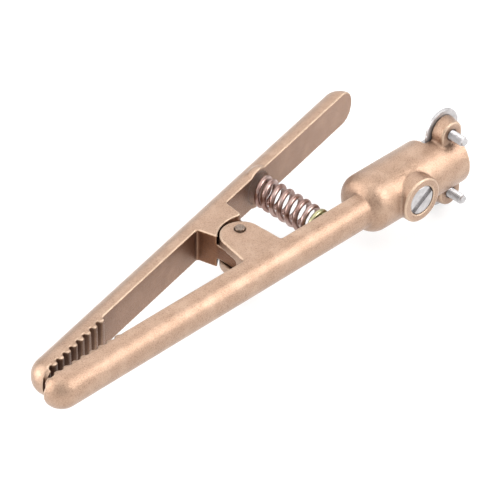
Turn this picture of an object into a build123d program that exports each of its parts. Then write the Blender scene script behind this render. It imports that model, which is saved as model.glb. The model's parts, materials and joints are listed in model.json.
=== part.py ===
from build123d import *
import os
from math import cos, radians, sin, tan

# Cast brass welding ground clamp: a main arm with a cable socket, a lever on a steel pin,
# a compression spring between the two, a set screw for the conductor and a saddle strap
# for the cable's jacket. Millimetres.
# Design frame: the pin's axis is X = 0, the main arm's inner face and the socket's axis lie
# at Y = 0, and Z = 0 is the middle of the arms' height. +X runs from the jaw to the socket,
# +Y from the main arm to the lever. Everything is moved to the part's own frame at the end.

# Arms: D-shaped bars, flat inside, rounded outside, slightly thicker at the jaw
ARM_HEIGHT = 15.6
JAW_THICK = 9.8
MAIN_TAIL_THICK = 8.9
LEVER_TAIL_THICK = 9.2
ARM_ROUND = 7.3
JAW_TIP_X = -121.0
NOSE_ROUND = 8.4
TINY = 1e-3

# Lever: its inner face passes through LEVER_FACE_Y at X = 0, turned by LEVER_ANGLE
LEVER_ANGLE = 12.85
LEVER_FACE_Y = 30.36
HANDLE_END = 103.8

# Teeth: blunt ridges parallel to the pin
TOOTH_PITCH = 4.55
TOOTH_COUNT = 9
MAIN_TOOTH_PROUD = 1.1
LEVER_TOOTH_PROUD = 1.4
TOOTH_BITE = 0.35
TOOTH_CREST = 1.9
TOOTH_FOOT = 3.3
TOOTH_START = 3.0
TOOTH_INSET = 0.3

# Pivot: pin, fork cheeks on the main arm, block and tongue on the lever
PIN_Y = 15.9
PIN_R = 2.1
PIN_STAND = 0.8
PIN_CHAMFER = 0.3
PIN_PRESS_GAP = 0.02
PIN_RUN_GAP = 0.07
CHEEK_THICK = 4.2
CHEEK_R = 8.95
CHEEK_X = -2.1
CHEEK_Y = 12.9
CHEEK_JAW_LEAN = 10.0
CHEEK_TAIL_LEAN = 3.0
SLOT_BOTTOM_Y = 5.6
TONGUE_GAP = 0.15
TONGUE_R = 8.2
TONGUE_JAW_X = -10.2
TONGUE_LOW_Y = 6.2
BLOCK_JAW_X = -13.1
BLOCK_JAW_LEAN = 0.5
BLOCK_JAW_DEPTH = 9.2
BLOCK_TAIL_X = 8.7
BLOCK_TAIL_LEAN = 3.1
BLOCK_TAIL_DEPTH = 8.85
BLOCK_ARC_R = 15.3
BLOCK_ARC_X = 1.0
BLOCK_ARC_Y = 8.0

# Spring and its seats
SPRING_X = 31.4
SPRING_R = 6.8
WIRE_R = 1.2
SPRING_TURNS = 8.5
SPRING_SEAT = 0.8
SEAT_GAP = 0.4
SPRING_END_GAP = 0.15
BOSS_R = 9.2
BOSS_DEPTH = 5.0
BOSS_BACK_ROUND = 3.5

# Cable socket
SOCKET_R = 12.7
SOCKET_START_X = 50.0
SOCKET_END_X = 103.6
SOCKET_SHOULDER = 6.5
BORE_R = 8.0
BORE_BOTTOM_X = 58.0
BORE_TIP_R = 3.0
BORE_TIP_LENGTH = 2.4
REAR_CUT = 14.0
RIM_SOFT = 0.8

# Set screw and its boss
SET_SCREW_X = 73.2
SET_BOSS_R = 10.0
SET_BOSS_FACE_Y = -14.9
SET_SCREW_R = 6.35
SET_SCREW_GAP = 0.06
SET_SCREW_SINK = 0.3
SET_SCREW_CHAMFER = 0.5
SET_TIP_GAP = 0.05
SLOT_WIDTH = 2.8
SLOT_DEPTH = 1.2
SLOT_TURN = 32.5

# Ears, strap and strap screws
EAR_X = 99.5
EAR_Z = 14.6
EAR_ROOT_Z = 6.6
EAR_R = 6.8
EAR_THICK = 5.7
EAR_DRAFT = 11.0
STRAP_THICK = 1.4
STRAP_END_R = 8.9
STRAP_END_SHIFT = 0.4
STRAP_END_CLEAR = 0.5
STRAP_WIDTH = 11.8
STRAP_ARCH_R = 8.6
STRAP_REST_GAP = 0.1
STRAP_SCREW_R = 2.1
STRAP_SCREW_GAP = 0.05
STRAP_HOLE_R = 2.4
STRAP_SCREW_OUT = 7.4
SCREW_HEAD_R = 3.7
SCREW_HEAD_HIGH = 2.6
SCREW_HEAD_ROUND = 1.2
SCREW_TIP_CHAMFER = 0.4
HEAD_SLOT_WIDTH = 1.0
HEAD_SLOT_DEPTH = 1.2
HEAD_SLOT_TURN = 25.0

HALF = ARM_HEIGHT / 2
SLOT_HALF = HALF - CHEEK_THICK
TONGUE_HALF = SLOT_HALF - TONGUE_GAP


def plan(points):
    """A closed outline in plan, on the Z = 0 plane."""
    return make_face(Polyline(*points, close=True))


def slab(face, low, high):
    """A plan outline made solid between two heights."""
    return extrude(Pos(0, 0, low) * face, high - low)


def bar(tail_x, tail_thick, round_tail):
    """A D-section bar along X with its flat face at Y = 0 and its round side at -Y."""
    outline = plan([(JAW_TIP_X, 0), (tail_x, 0), (tail_x, -tail_thick), (JAW_TIP_X, -JAW_THICK)])
    solid = slab(outline, -HALF, HALF)
    solid = fillet(solid.edges().filter_by(Axis.Z).sort_by(Axis.Y)[0], NOSE_ROUND).solid()
    if round_tail:
        outer = solid.edges().filter_by(Axis.Z).group_by(Axis.X)[-1]
        solid = fillet(outer.sort_by(Axis.Y)[0], NOSE_ROUND).solid()
    rims = solid.edges().filter_by(lambda e: abs(abs(e.center().Z) - HALF) < TINY)
    rims = rims.filter_by(lambda e: e.center().Y < -TINY)
    if not round_tail:
        rims = rims.filter_by(lambda e: e.center().X < tail_x - TINY)
    return fillet(rims, ARM_ROUND).solid()


def teeth(proud):
    """Blunt ridges standing proud of the plane Y = 0 towards +Y, trimmed to the nose's round end."""
    root = -1.0
    ridges = []
    for i in range(TOOTH_COUNT):
        x = JAW_TIP_X + TOOTH_START + i * TOOTH_PITCH
        foot, crest = TOOTH_FOOT / 2, TOOTH_CREST / 2
        ridges.append(slab(plan([(x - foot, root), (x - foot, -TOOTH_BITE), (x - crest, proud), (x + crest, proud),
                                 (x + foot, -TOOTH_BITE), (x + foot, root)]), -HALF, HALF))
    length = 2 * TOOTH_COUNT * TOOTH_PITCH
    keep = RectangleRounded(length, ARM_HEIGHT - 2 * TOOTH_INSET, ARM_ROUND)
    keep = Plane.XZ.offset(-10) * (Pos(JAW_TIP_X + TOOTH_INSET + length / 2, 0) * keep)
    return Part() + ridges & extrude(keep, 20)


def tooth_relief():
    """The shallow cut between the teeth, into the arm's inner face."""
    start = JAW_TIP_X + TOOTH_START - TOOTH_PITCH / 2
    end = start + TOOTH_COUNT * TOOTH_PITCH
    return slab(plan([(start, 1), (start, -TOOTH_BITE), (end, -TOOTH_BITE), (end, 1)]), -ARM_HEIGHT, ARM_HEIGHT)


def cheeks():
    """The two cheeks of the fork, seen in plan as a round end with leaning sides."""
    jaw_lean, tail_lean = radians(CHEEK_JAW_LEAN), radians(CHEEK_TAIL_LEAN)
    foot_y = -1.0
    jaw_x = CHEEK_X - CHEEK_R * cos(jaw_lean)
    jaw_y = CHEEK_Y + CHEEK_R * sin(jaw_lean)
    tail_x = CHEEK_X + CHEEK_R * cos(tail_lean)
    tail_y = CHEEK_Y + CHEEK_R * sin(tail_lean)
    web = plan([(jaw_x - (jaw_y - foot_y) * tan(jaw_lean), foot_y), (jaw_x, jaw_y), (tail_x, tail_y),
                (tail_x + (tail_y - foot_y) * tan(tail_lean), foot_y)])
    solid = slab(web, -HALF, HALF) + Pos(CHEEK_X, CHEEK_Y, 0) * Cylinder(CHEEK_R, ARM_HEIGHT)
    slot = Pos(0, SLOT_BOTTOM_Y + 20, 0) * Box(40, 40, 2 * SLOT_HALF)
    return solid - slot - Pos(0, PIN_Y, 0) * Cylinder(PIN_R + PIN_PRESS_GAP, 2 * ARM_HEIGHT)


def socket_shell():
    """The outside of the cable socket: barrel with its rear rim cut away, boss and ears."""
    length = SOCKET_END_X - SOCKET_START_X
    barrel = Pos(SOCKET_START_X + length / 2, 0, 0) * Rot(0, 90, 0) * Cylinder(SOCKET_R, length)
    barrel = fillet(barrel.edges().sort_by(Axis.X)[0], SOCKET_SHOULDER)
    barrel = barrel - Pos(SOCKET_END_X, SOCKET_R, 0) * Box(2 * REAR_CUT, 2 * SOCKET_R, 3 * SOCKET_R)
    deep = SOCKET_R - 2
    boss = Pos(SET_SCREW_X, SET_BOSS_FACE_Y + deep / 2, 0) * Rot(90, 0, 0) * Cylinder(SET_BOSS_R, deep)
    boss = fillet(boss.edges().sort_by(Axis.Y)[0], RIM_SOFT)
    return barrel + boss + ear(1) + ear(-1)


def main_arm():
    """The main casting: jaw bar, fork cheeks, cable socket, set-screw boss and ears."""
    body = bar(SOCKET_START_X + SOCKET_SHOULDER, MAIN_TAIL_THICK, False) - tooth_relief()
    body = body + teeth(MAIN_TOOTH_PROUD) + cheeks() + socket_shell()
    length = SOCKET_END_X - BORE_BOTTOM_X
    bore = Pos(BORE_BOTTOM_X + length, 0, 0) * Rot(0, 90, 0) * Cylinder(BORE_R, 2 * length)
    tip = Pos(BORE_BOTTOM_X - BORE_TIP_LENGTH / 2, 0, 0) * Rot(0, 90, 0) \
        * Cone(BORE_TIP_R, BORE_R, BORE_TIP_LENGTH)
    set_hole = Pos(SET_SCREW_X, -SOCKET_R, 0) * Rot(90, 0, 0) \
        * Cylinder(SET_SCREW_R + SET_SCREW_GAP, 2 * SOCKET_R - 4)
    body = body - bore - tip - set_hole
    for side in (1, -1):
        body = body - Pos(EAR_X, 0, side * EAR_Z) * Rot(90, 0, 0) \
            * Cylinder(STRAP_SCREW_R + STRAP_SCREW_GAP, 4 * EAR_THICK)
    return body - Pos(SPRING_X, 0, 0) * Rot(90, 0, 0) * Cylinder(SPRING_R + SEAT_GAP, 2 * SPRING_SEAT)


def ear(side):
    """One drafted ear beside the open end of the socket, side +1 above and -1 below."""
    outline = Pos(0, (EAR_ROOT_Z + EAR_Z) / 2) * Rectangle(2 * EAR_R, EAR_Z - EAR_ROOT_Z) \
        + Pos(0, EAR_Z) * Circle(EAR_R)
    lug = extrude(outline, EAR_THICK, taper=EAR_DRAFT)
    return Plane(origin=(EAR_X, 0, 0), x_dir=(side, 0, 0), z_dir=(0, -1, 0)) * lug


def lever_to_design(solid):
    """Turn a lever modelled flat, with its inner face at Y = 0, to its place over the main arm."""
    return Pos(0, LEVER_FACE_Y, 0) * Rot(0, 0, LEVER_ANGLE) * solid


def spring_seat_x():
    """Where the spring's axis meets the lever's inner face, along the lever."""
    return SPRING_X / cos(radians(LEVER_ANGLE))


def lever_arm():
    """The lever casting: jaw bar, handle, pivot block with its tongue, and spring boss."""
    flat = mirror(bar(HANDLE_END, LEVER_TAIL_THICK, True) - tooth_relief(), Plane.XZ)
    flat = flat + mirror(teeth(LEVER_TOOTH_PROUD), Plane.XZ)
    block = plan([(BLOCK_JAW_X, 1), (BLOCK_JAW_X + BLOCK_JAW_LEAN, -BLOCK_JAW_DEPTH),
                  (BLOCK_TAIL_X - BLOCK_TAIL_LEAN, -BLOCK_TAIL_DEPTH), (BLOCK_TAIL_X, 1)])
    boss = Pos(spring_seat_x(), BOSS_DEPTH / 2, 0) * Rot(90, 0, 0) * Cylinder(BOSS_R, BOSS_DEPTH)
    boss = fillet(boss.edges().sort_by(Axis.Y)[-1], BOSS_BACK_ROUND)
    seat = Pos(spring_seat_x(), 0, 0) * Rot(90, 0, 0) * Cylinder(SPRING_R + SEAT_GAP, 2 * SPRING_SEAT)
    body = lever_to_design(flat + slab(block, -HALF, HALF) + boss - seat)

    body = body - Pos(BLOCK_ARC_X, BLOCK_ARC_Y, 0) * Cylinder(BLOCK_ARC_R, 2 * ARM_HEIGHT)
    root_y = LEVER_FACE_Y - 2
    tongue = plan([(TONGUE_JAW_X, TONGUE_LOW_Y), (0, TONGUE_LOW_Y), (0, PIN_Y), (TONGUE_R, PIN_Y), (TONGUE_R, root_y),
                   (TONGUE_JAW_X, root_y)])
    tongue = slab(tongue, -TONGUE_HALF, TONGUE_HALF) + Pos(0, PIN_Y, 0) * Cylinder(TONGUE_R, 2 * TONGUE_HALF)
    return body + tongue - Pos(0, PIN_Y, 0) * Cylinder(PIN_R + PIN_RUN_GAP, ARM_HEIGHT)


def pivot_pin():
    """The steel pin pressed through both cheeks, slightly proud and chamfered at each end."""
    pin = Pos(0, PIN_Y, 0) * Cylinder(PIN_R, ARM_HEIGHT + 2 * PIN_STAND)
    return chamfer(pin.edges().filter_by(GeomType.CIRCLE), PIN_CHAMFER)


def jaw_spring():
    """The compression spring, a plain helix along Y between the two seats."""
    low = WIRE_R - SPRING_SEAT + SPRING_END_GAP
    high = LEVER_FACE_Y + (SPRING_X - SPRING_R) * tan(radians(LEVER_ANGLE)) - WIRE_R - SPRING_END_GAP
    coil_r = SPRING_R - WIRE_R
    path = Helix((high - low) / SPRING_TURNS, high - low, coil_r)
    start = Plane(origin=path @ 0, z_dir=path % 0)
    wire = sweep(start * Circle(WIRE_R), path)
    return Pos(SPRING_X, low, 0) * Rot(-90, 0, 0) * wire


def cable_set_screw():
    """The slotted grub screw, its tip level with the wall of the socket's bore."""
    face = SET_BOSS_FACE_Y + SET_SCREW_SINK
    length = -BORE_R - face - SET_TIP_GAP
    screw = Pos(SET_SCREW_X, face + length / 2, 0) * Rot(90, 0, 0) * Cylinder(SET_SCREW_R, length)
    screw = chamfer(screw.edges().filter_by(GeomType.CIRCLE), SET_SCREW_CHAMFER)
    slot = Pos(SET_SCREW_X, face, 0) * Rot(0, -SLOT_TURN, 0) * Box(3 * SET_SCREW_R, 2 * SLOT_DEPTH, SLOT_WIDTH)
    return screw - slot


def saddle_strap():
    """The plated strap: two round ends behind the ears and an arch over the cable."""
    inside = STRAP_ARCH_R
    outside = STRAP_ARCH_R + STRAP_THICK
    mid_x = SOCKET_END_X - REAR_CUT / 2
    ring = Circle(outside) - Circle(inside)
    ring = ring & Pos(outside, 0) * Rectangle(2 * outside, 2 * outside)
    arch = extrude(Plane.XY.offset(-STRAP_WIDTH / 2) * ring, STRAP_WIDTH)
    arch = Plane(origin=(mid_x, 0, 0), x_dir=(0, 1, 0), z_dir=(1, 0, 0)) * arch
    solid = arch
    for side in (1, -1):
        end = Pos(EAR_X + STRAP_END_SHIFT, STRAP_THICK / 2, side * EAR_Z) * Rot(90, 0, 0) * Cylinder(STRAP_END_R, STRAP_THICK)
        middle = side * (EAR_Z + inside) / 2
        neck = Pos(mid_x, STRAP_THICK / 2, middle) * Box(STRAP_WIDTH, STRAP_THICK, EAR_Z - inside)
        keep = Pos(EAR_X, 0, side * (SOCKET_R + 20 + STRAP_END_CLEAR)) * Box(60, 60, 40)
        solid = solid + (end & keep) + neck
    for side in (1, -1):
        solid = solid - Pos(EAR_X, 0, side * EAR_Z) * Rot(90, 0, 0) * Cylinder(STRAP_HOLE_R, 6 * STRAP_THICK)
    return Pos(0, STRAP_REST_GAP, 0) * solid


def strap_screw(side):
    """One strap screw: a domed slotted head at the back and a shank through the strap and the ear."""
    back = STRAP_REST_GAP + STRAP_THICK
    tip = -EAR_THICK - STRAP_SCREW_OUT
    shank = Pos(0, (back + tip) / 2, 0) * Rot(90, 0, 0) * Cylinder(STRAP_SCREW_R, back - tip)
    shank = chamfer(shank.edges().sort_by(Axis.Y)[0], SCREW_TIP_CHAMFER)
    head = Pos(0, back + SCREW_HEAD_HIGH / 2, 0) * Rot(90, 0, 0) * Cylinder(SCREW_HEAD_R, SCREW_HEAD_HIGH)
    head = fillet(head.edges().sort_by(Axis.Y)[-1], SCREW_HEAD_ROUND)
    slot = Pos(0, back + SCREW_HEAD_HIGH, 0) * Rot(0, side * HEAD_SLOT_TURN, 0) \
        * Box(4 * SCREW_HEAD_R, 2 * HEAD_SLOT_DEPTH, HEAD_SLOT_WIDTH)
    return Pos(EAR_X, 0, side * EAR_Z) * (shank + (head - slot))


def pieces():
    """Every piece of the clamp by its name, in the design frame."""
    return {
        "main_arm": main_arm(),
        "lever_arm": lever_arm(),
        "pivot_pin": pivot_pin(),
        "jaw_spring": jaw_spring(),
        "cable_set_screw": cable_set_screw(),
        "saddle_strap": saddle_strap(),
        "upper_strap_screw": strap_screw(1),
        "lower_strap_screw": strap_screw(-1),
    }


def to_part_frame(solids):
    """Move the pieces so that the origin is the bottom centre of the whole clamp's box."""
    box = Compound(children=[Compound(s.solids()) for s in solids.values()]).bounding_box()
    shift = Pos(-box.center().X, -box.center().Y, -box.min.Z)
    print("shift", [round(v, 3) for v in shift.position], "size", [round(v, 2) for v in box.size])
    return {name: shift * solid for name, solid in solids.items()}


os.makedirs("parts", exist_ok=True)
for name, solid in to_part_frame(pieces()).items():
    print(name, round(solid.volume, 1), "mm3")
    export_step(solid, "parts/" + name + ".step")
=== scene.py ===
import bpy
import json
import math
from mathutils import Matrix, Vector


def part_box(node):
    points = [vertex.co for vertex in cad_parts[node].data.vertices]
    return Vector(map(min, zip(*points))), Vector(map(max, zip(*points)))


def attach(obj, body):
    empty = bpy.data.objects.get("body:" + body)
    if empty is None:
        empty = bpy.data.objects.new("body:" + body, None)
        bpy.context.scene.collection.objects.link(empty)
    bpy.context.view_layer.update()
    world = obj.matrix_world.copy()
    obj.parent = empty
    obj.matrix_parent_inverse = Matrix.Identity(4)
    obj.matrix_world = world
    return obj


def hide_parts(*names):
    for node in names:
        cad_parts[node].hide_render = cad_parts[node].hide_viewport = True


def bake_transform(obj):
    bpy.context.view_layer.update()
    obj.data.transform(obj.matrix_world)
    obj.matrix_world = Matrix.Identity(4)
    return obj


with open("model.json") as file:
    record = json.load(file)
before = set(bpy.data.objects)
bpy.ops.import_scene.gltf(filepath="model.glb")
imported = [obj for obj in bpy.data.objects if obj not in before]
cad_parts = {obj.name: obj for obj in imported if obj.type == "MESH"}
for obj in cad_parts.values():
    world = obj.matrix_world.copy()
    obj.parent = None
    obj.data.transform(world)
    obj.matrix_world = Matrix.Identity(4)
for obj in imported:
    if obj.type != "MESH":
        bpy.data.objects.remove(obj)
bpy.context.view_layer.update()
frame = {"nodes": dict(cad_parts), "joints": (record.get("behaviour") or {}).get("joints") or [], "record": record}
nodes = frame["nodes"]
joints = {joint["name"]: joint for joint in frame["joints"]}
pivot = Vector(joints["jaw_pivot"]["pos_m"])  # the pin's axis, at the arms' middle height
mm = 0.001


def deselectAll():
    if bpy.context.mode != "OBJECT":
        bpy.ops.object.mode_set(mode="OBJECT")
    bpy.ops.object.select_all(action="DESELECT")


def makeActive(obj):
    deselectAll()
    obj.select_set(True)
    bpy.context.view_layer.objects.active = obj


def applyModifier(obj, kind, **options):
    makeActive(obj)
    modifier = obj.modifiers.new(kind.lower(), kind)
    for option, value in options.items():
        setattr(modifier, option, value)
    bpy.ops.object.modifier_apply(modifier=modifier.name)


print("stage: camera, light and floor")

cameraSettings = {
    "turn": -44.17,  # degrees about Z, 0 looks along +Y
    "rise": 37.65,
    "distance": 1.9736,
    "lens": 355.25,
    "aim": (0.15 * mm, -5.59 * mm, 0.0),  # from the pivot
}


def addCamera(settings):
    turn, rise = math.radians(settings["turn"]), math.radians(settings["rise"])
    away = Vector((math.sin(turn) * math.cos(rise), -math.cos(turn) * math.cos(rise), math.sin(rise)))
    data = bpy.data.cameras.new("camera")
    data.lens = settings["lens"]
    data.sensor_width = 36
    data.clip_end = 20
    camera = bpy.data.objects.new("camera", data)
    camera.location = pivot + Vector(settings["aim"]) + away * settings["distance"]
    camera.rotation_euler = away.to_track_quat("Z", "Y").to_euler()
    bpy.context.scene.collection.objects.link(camera)
    bpy.context.scene.camera = camera


addCamera(cameraSettings)


lightSettings = {
    "key": {"from": (0.66, -0.78, 0.64), "size": 0.60, "power": 9.5},
    "overhead": {"from": (-0.10, 0.10, 1.60), "size": 1.5, "power": 10.0},
    "behind": {"from": (0.75, 0.75, 0.80), "size": 1.0, "power": 3.6},
    "left": {"from": (-0.95, 0.68, 0.42), "size": 0.9, "power": 11.0},
}


def addLight(name, settings):
    data = bpy.data.lights.new(name, "AREA")
    data.size = settings["size"]
    data.energy = settings["power"]
    light = bpy.data.objects.new(name, data)
    light.location = Vector(settings["from"]) + pivot
    light.rotation_euler = Vector(settings["from"]).to_track_quat("Z", "Y").to_euler()
    bpy.context.scene.collection.objects.link(light)


for name, settings in lightSettings.items():
    addLight(name, settings)


worldSettings = {"color": (1, 1, 1, 1), "strength": 0.68}


def addWorld(settings):
    world = bpy.data.worlds.new("studio")
    world.use_nodes = True
    background = world.node_tree.nodes["Background"]
    background.inputs["Color"].default_value = settings["color"]
    background.inputs["Strength"].default_value = settings["strength"]
    bpy.context.scene.world = world


addWorld(worldSettings)
bpy.context.scene.view_settings.view_transform = "Standard"


print("stage: finishes")


class Finish:  # a material's node tree, built step by step
    def __init__(self, name, metallic, roughness):
        self.material = bpy.data.materials.new(name)
        self.material.use_nodes = True
        self.nodes = self.material.node_tree.nodes
        self.links = self.material.node_tree.links
        self.shader = self.nodes["Principled BSDF"]
        self.shader.inputs["Metallic"].default_value = metallic
        self.shader.inputs["Roughness"].default_value = roughness
        self.place = self.nodes.new("ShaderNodeTexCoord").outputs["Object"]

    def noise(self, size, detail=3, roughness=0.5):  # size in metres
        node = self.nodes.new("ShaderNodeTexNoise")
        node.inputs["Scale"].default_value = 1 / size
        node.inputs["Detail"].default_value = detail
        node.inputs["Roughness"].default_value = roughness
        self.links.new(self.place, node.inputs["Vector"])
        return node.outputs["Fac"]

    def remap(self, value, low, high, toLow, toHigh):  # held level beyond low and high
        node = self.nodes.new("ShaderNodeMapRange")
        for key, number in (("From Min", low), ("From Max", high), ("To Min", toLow), ("To Max", toHigh)):
            node.inputs[key].default_value = number
        self.links.new(value, node.inputs["Value"])
        return node.outputs["Result"]

    def ramp(self, value, stops):  # each stop is a place from 0 to 1 and a colour
        node = self.nodes.new("ShaderNodeValToRGB")
        while len(node.color_ramp.elements) < len(stops):
            node.color_ramp.elements.new(0.5)
        for element, (place, color) in zip(node.color_ramp.elements, stops):
            element.position = place
            element.color = (*color, 1)
        self.links.new(value, node.inputs["Fac"])
        return node.outputs["Color"]

    def mix(self, share, a, b, kind="MIX"):  # all a where the share is 0, all b where it is 1
        node = self.nodes.new("ShaderNodeMix")
        node.data_type = "RGBA"
        node.blend_type = kind
        sockets = [socket for socket in node.inputs if socket.enabled]
        for socket, value in zip(sockets, (share, a, b)):
            if isinstance(value, (int, float)):
                socket.default_value = value
            elif isinstance(value, tuple):
                socket.default_value = (*value, 1)
            else:
                self.links.new(value, socket)
        return [socket for socket in node.outputs if socket.enabled][0]

    def attribute(self, name):
        node = self.nodes.new("ShaderNodeAttribute")
        node.attribute_name = name
        return node.outputs["Fac"]

    def shade(self, reach):  # 1 in the open, less in tight corners
        node = self.nodes.new("ShaderNodeAmbientOcclusion")
        node.inputs["Distance"].default_value = reach
        node.samples = 8
        return node.outputs["AO"]

    def bump(self, height, depth, strength=1.0, under=None):  # on top of the bump under it
        node = self.nodes.new("ShaderNodeBump")
        node.inputs["Distance"].default_value = depth
        node.inputs["Strength"].default_value = strength
        self.links.new(height, node.inputs["Height"])
        if under is not None:
            self.links.new(under, node.inputs["Normal"])
        return node.outputs["Normal"]

    def use(self, socket, value):  # the value drives that socket of the shader
        self.links.new(value, self.shader.inputs[socket])


brassSettings = {
    "base": (0.415, 0.262, 0.178),
    "light": (0.530, 0.360, 0.258),
    "dark": (0.370, 0.228, 0.150),
    # edge: a painted highlight along sharp edges, partly real wear
    "edge": (0.880, 0.690, 0.510),
    "pit": (0.220, 0.120, 0.075),
    # inside: painted shade in recesses and between the parts
    "inside": (0.190, 0.105, 0.068),
    # corner: painted shade in tight corners and creases
    "cornerShade": (0.120, 0.062, 0.038),
    "dull": (0.46, 0.29, 0.17),  # times the tone: painted shade on the arms' inner faces and the lever block's front face
    "lightShare": 0.80,  # at the most, as are the other shares
    "pitShare": 0.50,
    "edgeHighlightShare": 0.42,
    "insideShadeShare": 0.55,
    "cornerShadeShare": 0.85,
    "insideShadeReach": 16 * mm,
    "cornerShadeReach": 3.5 * mm,
    "mottle": 7.0 * mm,
    "grain": 0.50 * mm,
    "grainDepth": 0.22 * mm,
    "ripple": 1.3 * mm,
    "rippleDepth": 0.05 * mm,
    "roughness": (0.27, 0.44),
    "coat": 0.45,
    "coatRoughness": 0.30,
}


def castBrass(settings):
    finish = Finish("castBrass", 1.0, 0.42)
    grain = finish.noise(settings["grain"], 4, 0.65)
    mottle = finish.noise(settings["mottle"], 3)
    stops = [(0.32, settings["dark"]), (0.50, settings["base"]), (0.70, settings["light"])]
    tone = finish.ramp(mottle, stops)
    grit = finish.remap(grain, 0.35, 0.65, 0.0, settings["lightShare"])
    tone = finish.mix(grit, tone, settings["light"])
    pits = finish.remap(grain, 0.48, 0.32, 0.0, settings["pitShare"])
    tone = finish.mix(pits, tone, settings["pit"])
    # Sharp edges lighter: a painted highlight, partly wear.
    wornAndLitEdge = finish.remap(finish.attribute("edgeWearAndHighlight"), 0.045, 0.085, 0.0, settings["edgeHighlightShare"])
    tone = finish.mix(wornAndLitEdge, tone, settings["edge"])
    # Painted shade in recesses, from ambient occlusion.
    shadedInside = finish.remap(finish.shade(settings["insideShadeReach"]), 0.30, 0.95, settings["insideShadeShare"], 0.0)
    tone = finish.mix(shadedInside, tone, settings["inside"])
    # Painted shade in tight corners, from ambient occlusion.
    shadedCorner = finish.remap(finish.shade(settings["cornerShadeReach"]), 0.40, 0.90, settings["cornerShadeShare"], 0.0)
    tone = finish.mix(shadedCorner, tone, settings["cornerShade"])
    # Painted shade on the inner faces and the block's front, marked on the casting.
    tone = finish.mix(finish.attribute("innerFaceShade"), tone, settings["dull"], "MULTIPLY")
    finish.use("Base Color", tone)
    finish.use("Roughness", finish.remap(grain, 0.3, 0.7, *settings["roughness"]))
    skin = finish.bump(grain, settings["grainDepth"])
    skin = finish.bump(finish.noise(settings["ripple"], 2), settings["rippleDepth"], 0.6, skin)
    finish.use("Normal", skin)
    finish.use("Coat Normal", skin)
    finish.shader.inputs["Coat Weight"].default_value = settings["coat"]
    finish.shader.inputs["Coat Roughness"].default_value = settings["coatRoughness"]
    return finish.material


steelSettings = {
    "base": (0.39, 0.262, 0.232),
    "warm": (0.29, 0.165, 0.135),
    "bright": (0.54, 0.420, 0.385),
    "gold": (0.46, 0.430, 0.250),
    "brightShare": 0.25,
    "platedLength": 6.0 * mm,
    "platedFade": 2.0 * mm,
    "stain": 6.0 * mm,
    "scuff": 0.9 * mm,
    "scuffDepth": 0.01 * mm,
    "roughness": (0.26, 0.40),
}


def wireSteel(settings):  # browned wire, with yellow plating left on the coils at the main arm
    finish = Finish("springSteel", 1.0, 0.25)
    along = finish.nodes.new("ShaderNodeSeparateXYZ")
    finish.links.new(finish.place, along.inputs["Vector"])
    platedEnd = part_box("jaw_spring")[0].y + settings["platedLength"]
    plated = finish.remap(along.outputs["Y"], platedEnd, platedEnd - settings["platedFade"], 0.0, 1.0)
    stain = finish.noise(settings["stain"], 3)
    scuff = finish.noise(settings["scuff"], 2)
    stops = [(0.35, settings["warm"]), (0.52, settings["base"]), (0.70, settings["bright"])]
    tone = finish.ramp(stain, stops)
    rubbed = finish.remap(scuff, 0.45, 0.75, 0.0, settings["brightShare"])
    tone = finish.mix(rubbed, tone, settings["bright"])
    finish.use("Base Color", finish.mix(plated, tone, settings["gold"]))
    finish.use("Roughness", finish.remap(scuff, 0.3, 0.7, *settings["roughness"]))
    finish.use("Normal", finish.bump(scuff, settings["scuffDepth"]))
    return finish.material


pinSteelSettings = {
    "dark": (0.16, 0.115, 0.092),
    "light": (0.31, 0.245, 0.200),
    "scuff": 0.6 * mm,
    "scuffDepth": 0.04 * mm,
    "roughness": (0.30, 0.50),
}


def pinSteel(settings):
    finish = Finish("pinSteel", 1.0, 0.38)
    scuff = finish.noise(settings["scuff"], 3, 0.6)
    finish.use("Base Color", finish.ramp(scuff, [(0.35, settings["dark"]), (0.65, settings["light"])]))
    finish.use("Roughness", finish.remap(scuff, 0.3, 0.7, *settings["roughness"]))
    finish.use("Normal", finish.bump(scuff, settings["scuffDepth"]))
    return finish.material


zincSettings = {
    "dark": (0.47, 0.455, 0.455),
    "light": (0.61, 0.590, 0.592),
    "cloud": 2.5 * mm,
    "scratch": 0.35 * mm,
    "scratchDepth": 0.015 * mm,
    "roughness": (0.42, 0.60),
}


def zincPlate(settings):
    finish = Finish("zincPlate", 1.0, 0.25)
    cloud = finish.noise(settings["cloud"], 3)
    scratch = finish.noise(settings["scratch"], 2, 0.6)
    finish.use("Base Color", finish.ramp(cloud, [(0.35, settings["dark"]), (0.65, settings["light"])]))
    finish.use("Roughness", finish.remap(scratch, 0.3, 0.7, *settings["roughness"]))
    finish.use("Normal", finish.bump(scratch, settings["scratchDepth"]))
    return finish.material


finishes = {
    "cast_brass": castBrass(brassSettings),
    "pin_steel": pinSteel(pinSteelSettings),
    "spring_steel": wireSteel(steelSettings),
    "zinc_plate": zincPlate(zincSettings),
}
slots = {part["node"]: part["material_slot"] for part in frame["record"]["subparts"]}
for nodeName, slotName in slots.items():
    nodes[nodeName].data.materials.clear()
    nodes[nodeName].data.materials.append(finishes[slotName])


def finishPiece(piece, nodeName):  # gives a piece its node's finish and lets it stand for the node
    slotName = slots[nodeName]
    piece.data.materials.clear()
    piece.data.materials.append(finishes[slotName])
    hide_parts(nodeName)


floorSettings = {
    "size": 6,
    "color": (0.42, 0.42, 0.42, 1),
    "roughness": 0.8,
    "glow": (1, 1, 1, 1),
    "glowStrength": 0.64,
}


def addFloor(settings):
    deselectAll()
    bpy.ops.mesh.primitive_plane_add(size=settings["size"], location=(0, 0, 0))
    floor = bpy.context.object
    floor.name = "floor"
    finish = Finish("paleFloor", 0.0, settings["roughness"])
    finish.shader.inputs["Base Color"].default_value = settings["color"]
    finish.shader.inputs["Emission Color"].default_value = settings["glow"]
    finish.shader.inputs["Emission Strength"].default_value = settings["glowStrength"]
    floor.data.materials.append(finish.material)


addFloor(floorSettings)


print("stage: castings")

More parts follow.
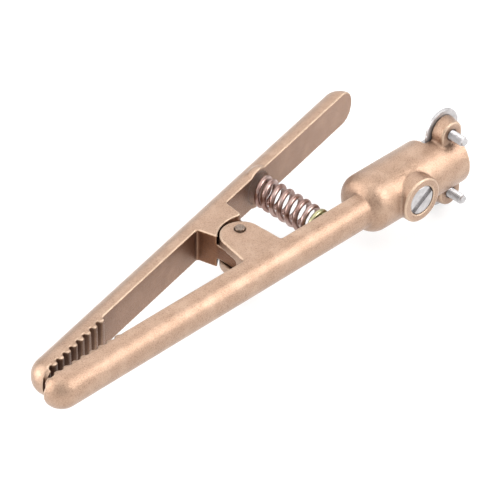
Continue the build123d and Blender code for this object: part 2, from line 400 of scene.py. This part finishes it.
leverLean = math.radians(12.85)  # the lever's inner face to the main arm's, at rest
leverInner = Vector((math.sin(leverLean), -math.cos(leverLean), 0))  # the way that face looks

# The shaded sides are the way each looks, how much painted shade it gets, and the X where it starts.
castings = {
    "main_arm": {
        "name": "mainCasting", "body": "frame", "voxel": 0.47 * mm,
        "shadedSides": [(Vector((0, 1, 0)), 0.60, None)],
    },
    "lever_arm": {
        "name": "leverCasting", "body": "lever", "voxel": 0.42 * mm,
        "shadedSides": [(leverInner, 0.60, None), (Vector((-1, 0, 0)), 1.0, -40 * mm)],
    },
}
skinSettings = {
    "smooth": 4,
    "waves": 0.05 * mm,
    "waveSize": 5 * mm,
    "waveLevel": 0.75,
    "facing": (0.35, 0.5),  # how squarely a surface faces a shaded side when the painted shade starts, and its spread
    "upright": (-0.5, 0.35),  # the same for a surface that tips up or down
    "sharpnessRounds": 2,  # of evening
}


def shareOf(value, start, width):  # 0 up to start, 1 from a width past it
    return min(max((value - start) / width, 0), 1)


def softCopy(nodeName, pieceName, voxel, smooth):  # the node's shape with its corners eased
    piece = bpy.data.objects.new(pieceName, nodes[nodeName].data.copy())
    bpy.context.scene.collection.objects.link(piece)
    makeActive(piece)
    bpy.ops.object.mode_set(mode="EDIT")
    bpy.ops.mesh.select_all(action="SELECT")
    bpy.ops.mesh.remove_doubles(threshold=1e-6)
    bpy.ops.object.mode_set(mode="OBJECT")
    applyModifier(piece, "REMESH", mode="VOXEL", voxel_size=voxel)
    applyModifier(piece, "SMOOTH", factor=0.5, iterations=smooth)
    makeActive(piece)
    bpy.ops.object.shade_smooth()
    return piece


def addWaves(piece, settings):  # the slight unevenness of a sand casting
    texture = bpy.data.textures.new(piece.name + "Waves", "CLOUDS")
    texture.noise_scale = settings["waveSize"]
    options = {"strength": settings["waves"], "mid_level": settings["waveLevel"]}
    applyModifier(piece, "DISPLACE", texture=texture, texture_coords="LOCAL", **options)


def markPoints(piece, name, values):  # a number on every point, for the finish to read
    piece.data.attributes.new(name, "FLOAT", "POINT").data.foreach_set("value", values)


def markInnerShade(piece, sides, settings):  # how much painted shade each point gets
    shades = []
    for vertex in piece.data.vertices:
        shade = 0
        for direction, strength, start in sides:
            facing = shareOf(vertex.normal.dot(direction), *settings["facing"])
            facing *= shareOf(-abs(vertex.normal.z), *settings["upright"])
            if start is None or vertex.co.x > start:
                shade = max(shade, facing * strength)
        shades.append(shade)
    markPoints(piece, "innerFaceShade", shades)


def markEdges(piece, rounds):  # how sharply the surface turns at each point, evened over its neighbours
    points = piece.data.vertices
    pairs = [tuple(edge.vertices) for edge in piece.data.edges]
    counts = [1] * len(points)
    sharpness = [0.0] * len(points)
    for a, b in pairs:
        step = (points[b].co - points[a].co).normalized()
        sharpness[a] -= step.dot(points[a].normal)
        sharpness[b] += step.dot(points[b].normal)
        counts[a] += 1
        counts[b] += 1
    sharpness = [value / max(count - 1, 1) for value, count in zip(sharpness, counts)]
    for _ in range(rounds):
        sums = list(sharpness)
        for a, b in pairs:
            sums[a] += sharpness[b]
            sums[b] += sharpness[a]
        sharpness = [value / count for value, count in zip(sums, counts)]
    # The finish lightens these points as a painted edge highlight, partly wear.
    markPoints(piece, "edgeWearAndHighlight", sharpness)


def addCasting(nodeName, settings, skin):
    piece = softCopy(nodeName, settings["name"], settings["voxel"], skin["smooth"])
    addWaves(piece, skin)
    markInnerShade(piece, settings["shadedSides"], skin)
    markEdges(piece, skin["sharpnessRounds"])
    finishPiece(piece, nodeName)
    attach(piece, settings["body"])
    print(piece.name, len(piece.data.polygons), "faces")


for nodeName, settings in castings.items():
    addCasting(nodeName, settings, skinSettings)


print("stage: strap, screws and pin")

strapSettings = {"name": "saddleStrap", "voxel": 0.24 * mm, "smooth": 3}

strapScrew = {
    "faces": 1,  # the head looks along +Y, with -1 along -Y
    "radius": 2.1 * mm,
    "root": 1.74 * mm,
    "pitch": 0.7 * mm,
    "head": 3.7 * mm,  # radius
    "headHigh": 2.6 * mm,
    "dome": 1.3 * mm,
    "tip": 0.45 * mm,
    "slot": (1.0 * mm, 1.2 * mm),  # width and depth
}
screwSettings = {
    "upper_strap_screw": {"name": "upperScrew", "body": "upper_screw", "slotTurn": 25.0, **strapScrew},
    "lower_strap_screw": {"name": "lowerScrew", "body": "lower_screw", "slotTurn": -25.0, **strapScrew},
    "cable_set_screw": {
        "name": "setScrew",
        "body": "set_screw",
        "faces": -1,
        "radius": 6.35 * mm,
        "root": 5.55 * mm,
        "pitch": 1.5 * mm,
        "head": 6.3 * mm,
        "headHigh": 1.4 * mm,
        "dome": 0.5 * mm,
        "tip": 0.5 * mm,
        "slot": (2.8 * mm, 1.2 * mm),
        "slotTurn": 32.5,
    },
}
threadSettings = {
    "flank": 0.47,  # half the height of a turn, in pitches
    "steps": 32,  # in a turn
}

pinSettings = {"name": "pivotPin", "chamfer": 0.3 * mm, "rim": 0.5 * mm, "dish": 0.12 * mm}

flat = 1e-6  # how near to a level a point counts as on it


def editWhere(piece, test):  # goes into edit mode with the points that pass the test selected
    makeActive(piece)
    bpy.ops.object.mode_set(mode="EDIT")
    bpy.ops.mesh.select_mode(type="VERT")
    bpy.ops.mesh.select_all(action="DESELECT")
    bpy.ops.object.mode_set(mode="OBJECT")
    for vertex in piece.data.vertices:
        vertex.select = test(vertex.co)
    bpy.ops.object.mode_set(mode="EDIT")


def addRod(name, radius, low, high):  # stands along Z between two heights
    deselectAll()
    middle = (0, 0, (low + high) / 2)
    bpy.ops.mesh.primitive_cylinder_add(vertices=64, radius=radius, depth=high - low, location=middle)
    rod = bpy.context.object
    rod.name = name
    bpy.ops.object.transform_apply(location=True, rotation=True, scale=True)
    return rod


def bevelEnd(piece, height, width, steps):
    editWhere(piece, lambda place: abs(place.z - height) < flat)
    bpy.ops.mesh.bevel(offset=width, segments=steps, affect="EDGES")
    bpy.ops.object.mode_set(mode="OBJECT")


def cutSlot(piece, width, depth, top, turn):
    length = 30 * mm  # longer than any head is wide
    deselectAll()
    bpy.ops.mesh.primitive_cube_add(size=1, location=(0, 0, top), rotation=(0, 0, math.radians(turn)))
    cutter = bpy.context.object
    cutter.scale = (length, width, 2 * depth)
    bpy.ops.object.transform_apply(location=True, rotation=True, scale=True)
    applyModifier(piece, "BOOLEAN", operation="DIFFERENCE", object=cutter, solver="EXACT")
    bpy.data.objects.remove(cutter)


def addThread(piece, settings, low, high):  # a diamond wound up the rod, its inner half sunk into it
    pitch, root, radius = settings["pitch"], settings["root"], settings["radius"]
    flank, steps = threadSettings["flank"] * pitch, threadSettings["steps"]
    deselectAll()
    place = {"location": (root, 0, low), "rotation": (math.pi / 2, 0, 0)}
    bpy.ops.mesh.primitive_circle_add(vertices=4, radius=1, fill_type="NOTHING", **place)
    thread = bpy.context.object
    thread.scale = (radius - root, flank, 1)
    bpy.ops.object.transform_apply(location=True, rotation=True, scale=True)
    turns = int((high - low) / pitch)
    winding = {"screw_offset": pitch, "iterations": turns, "steps": steps, "render_steps": steps}
    applyModifier(thread, "SCREW", axis="Z", **winding)
    editWhere(thread, lambda place: True)
    bpy.ops.mesh.fill_holes(sides=0)
    bpy.ops.mesh.select_all(action="SELECT")
    bpy.ops.mesh.normals_make_consistent(inside=False)
    bpy.ops.object.mode_set(mode="OBJECT")
    makeActive(piece)
    thread.select_set(True)
    bpy.ops.object.join()


def placePiece(piece, turnAboutX, place):  # turns the finished mesh and puts it where it belongs
    piece.location = place
    piece.rotation_euler = (turnAboutX, 0, 0)
    makeActive(piece)
    bpy.ops.object.transform_apply(location=True, rotation=True, scale=True)


def addScrew(nodeName, settings):  # made with its head up and the head's underside at 0
    low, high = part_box(nodeName)
    middle = (low + high) / 2
    length = high.y - low.y
    top, tip = settings["headHigh"], settings["headHigh"] - length
    screw = addRod(settings["name"], settings["head"], 0, top)
    bevelEnd(screw, top, settings["dome"], 6)
    editWhere(screw, lambda place: abs(place.z) < flat)
    bpy.ops.mesh.inset(thickness=settings["head"] - settings["root"])
    bpy.ops.mesh.extrude_region_move(TRANSFORM_OT_translate={"value": (0, 0, tip)})
    bpy.ops.object.mode_set(mode="OBJECT")
    bevelEnd(screw, tip, settings["tip"], 2)
    cutSlot(screw, *settings["slot"], top, settings["slotTurn"])
    addThread(screw, settings, tip + settings["tip"] + settings["pitch"] / 2, -settings["pitch"] / 2)
    makeActive(screw)
    bpy.ops.object.shade_smooth_by_angle(angle=math.radians(35))
    faces = settings["faces"]
    outer = high.y if faces > 0 else low.y
    placePiece(screw, -faces * math.pi / 2, (middle.x, outer - faces * top, middle.z))
    finishPiece(screw, nodeName)
    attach(screw, settings["body"])


def addPin(settings):
    low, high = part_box("pivot_pin")
    middle = (low + high) / 2
    pin = addRod(settings["name"], (high.x - low.x) / 2, low.z, high.z)
    for height, inward in ((low.z, 1), (high.z, -1)):
        bevelEnd(pin, height, settings["chamfer"], 3)
        editWhere(pin, lambda place: abs(place.z - height) < flat)
        bpy.ops.mesh.inset(thickness=settings["rim"])
        bpy.ops.transform.translate(value=(0, 0, inward * settings["dish"]))
        bpy.ops.object.mode_set(mode="OBJECT")
    makeActive(pin)
    bpy.ops.object.shade_smooth_by_angle(angle=math.radians(50))
    placePiece(pin, 0, (middle.x, middle.y, 0))
    finishPiece(pin, "pivot_pin")
    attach(pin, "frame")


def addStrap(settings):
    strap = softCopy("saddle_strap", settings["name"], settings["voxel"], settings["smooth"])
    finishPiece(strap, "saddle_strap")
    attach(strap, "strap")


addStrap(strapSettings)
for nodeName, settings in screwSettings.items():
    addScrew(nodeName, settings)
addPin(pinSettings)


print("stage: spring")

springSettings = {
    "wire": 1.2 * mm,  # radius
    "turns": 8.5,
    "closedTurns": 1.0,
    "closedPitch": 2.6 * mm,
    "ringsPerTurn": 44,
    "hand": -1,
    "start": math.radians(92.0),
    "lean": leverLean,
}


def springCourse(settings):  # points of the wire's centre line, from the main arm to the lever
    low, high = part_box("jaw_spring")
    middle = (low + high) / 2
    wire = settings["wire"]
    radius = (high.x - low.x) / 2 - wire
    lean = math.tan(settings["lean"])
    length = high.y - low.y - 2 * wire + radius * lean
    turns, closed = settings["turns"], settings["closedTurns"]
    openPitch = (length - 2 * closed * settings["closedPitch"]) / (turns - 2 * closed)
    count = round(turns * settings["ringsPerTurn"])
    points = []
    y = low.y + wire
    for i in range(count + 1):
        turn = turns * i / count
        angle = settings["start"] + settings["hand"] * 2 * math.pi * turn
        points.append(Vector((middle.x + radius * math.cos(angle), y, middle.z + radius * math.sin(angle))))
        ease = shareOf(min(turn, turns - turn) / closed, 0.5, 1)  # 0 in the closed turns at the ends
        pitch = settings["closedPitch"] + (openPitch - settings["closedPitch"]) * ease
        y += pitch * turns / count
    scale = length / (points[-1].y - points[0].y)
    for point in points:  # the coils tip over with the lever's seat
        share = (point.y - low.y - wire) / length
        point.y = low.y + wire + share * scale * (length + lean * (point.x - middle.x))
    return points


def addCoil(course, settings):
    data = bpy.data.curves.new("jawSpring", "CURVE")
    data.dimensions = "3D"
    data.bevel_depth = settings["wire"]
    data.bevel_resolution = 4
    data.use_fill_caps = True
    line = data.splines.new("POLY")
    line.points.add(len(course) - 1)
    for point, place in zip(line.points, course):
        point.co = (*place, 1)
    coil = bpy.data.objects.new("jawSpring", data)
    bpy.context.scene.collection.objects.link(coil)
    makeActive(coil)
    bpy.ops.object.convert(target="MESH")
    bpy.ops.object.shade_smooth()
    return bpy.context.object


def addSpring(settings):
    course = springCourse(settings)
    coil = addCoil(course, settings)
    finishPiece(coil, "jaw_spring")
    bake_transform(coil)


addSpring(springSettings)
